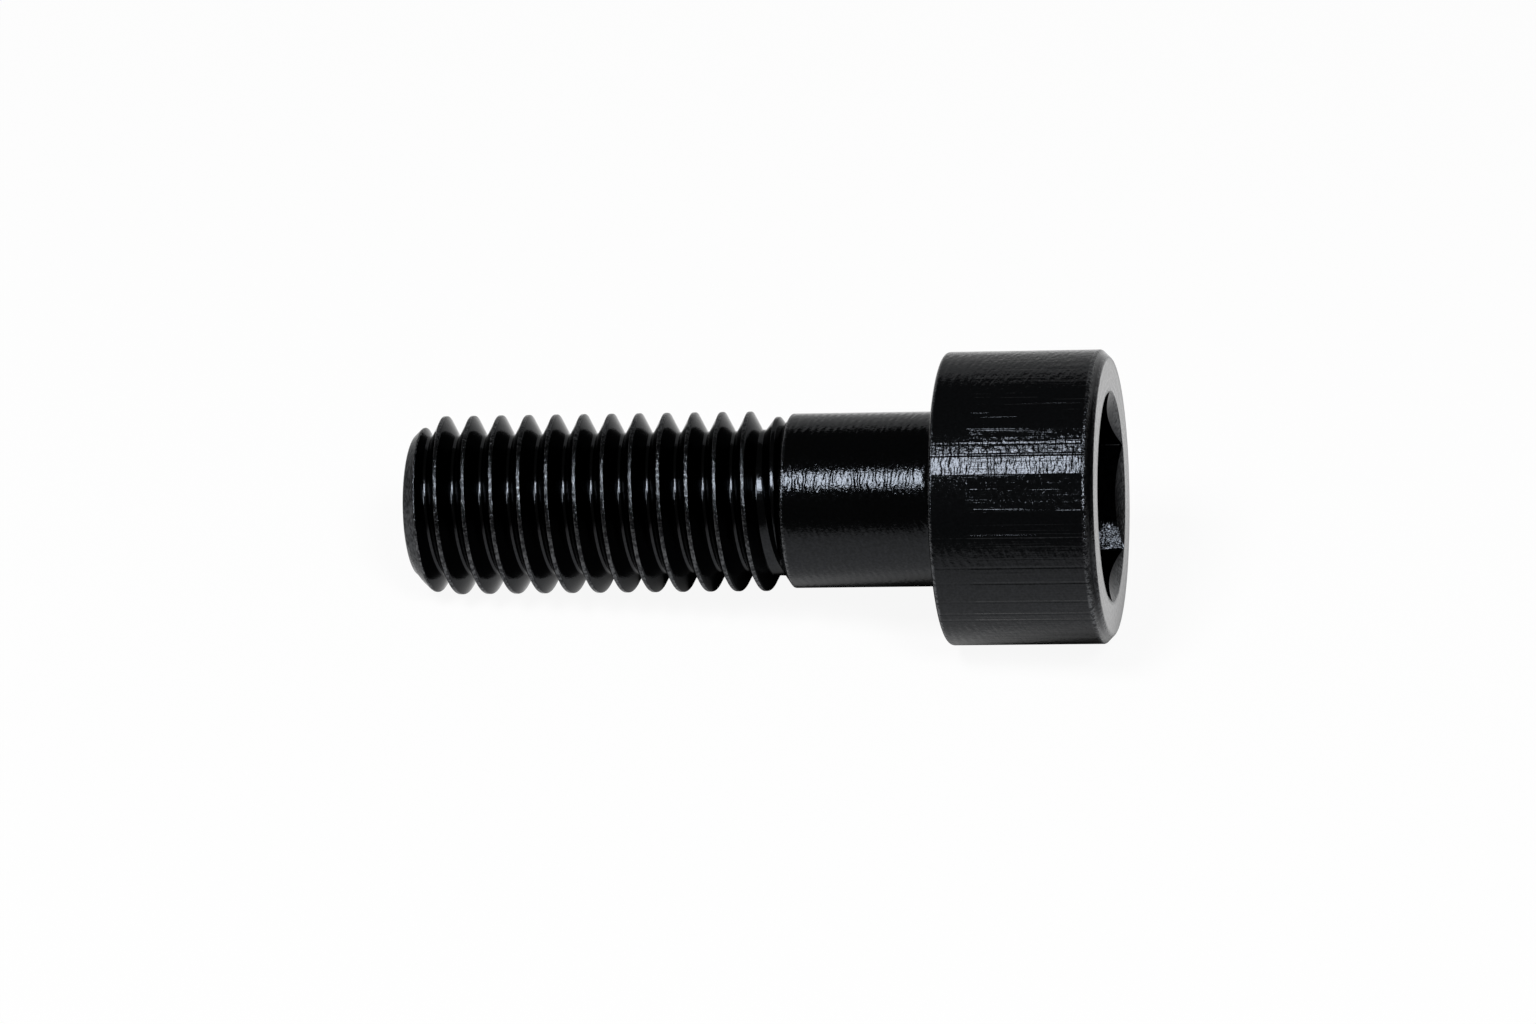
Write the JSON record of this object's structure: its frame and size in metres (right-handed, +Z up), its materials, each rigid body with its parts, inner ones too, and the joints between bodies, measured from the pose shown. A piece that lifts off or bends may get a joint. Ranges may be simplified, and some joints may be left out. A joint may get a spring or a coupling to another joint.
{
  "type": "socket head cap screw",
  "caption": "Black steel screw with a cylindrical head, a countersunk hexagon socket, a short plain shank and a coarse right-hand metric thread.",
  "frame": {"origin": "under the middle of the screw's enclosing box, on the surface that the screw lies on", "axes": "+X along the screw towards its head, level with the surface; +Z up; the screw's own axis rises by 6 degrees towards the head"},
  "size_m": [0.032, 0.0128, 0.0135],
  "materials": {
    "black_oxide_steel": "glossy black oxide over steel, lightly oiled"
  },
  "bodies": {
    "root": {"socket_screw": "black_oxide_steel"}
  },
  "joints": []
}
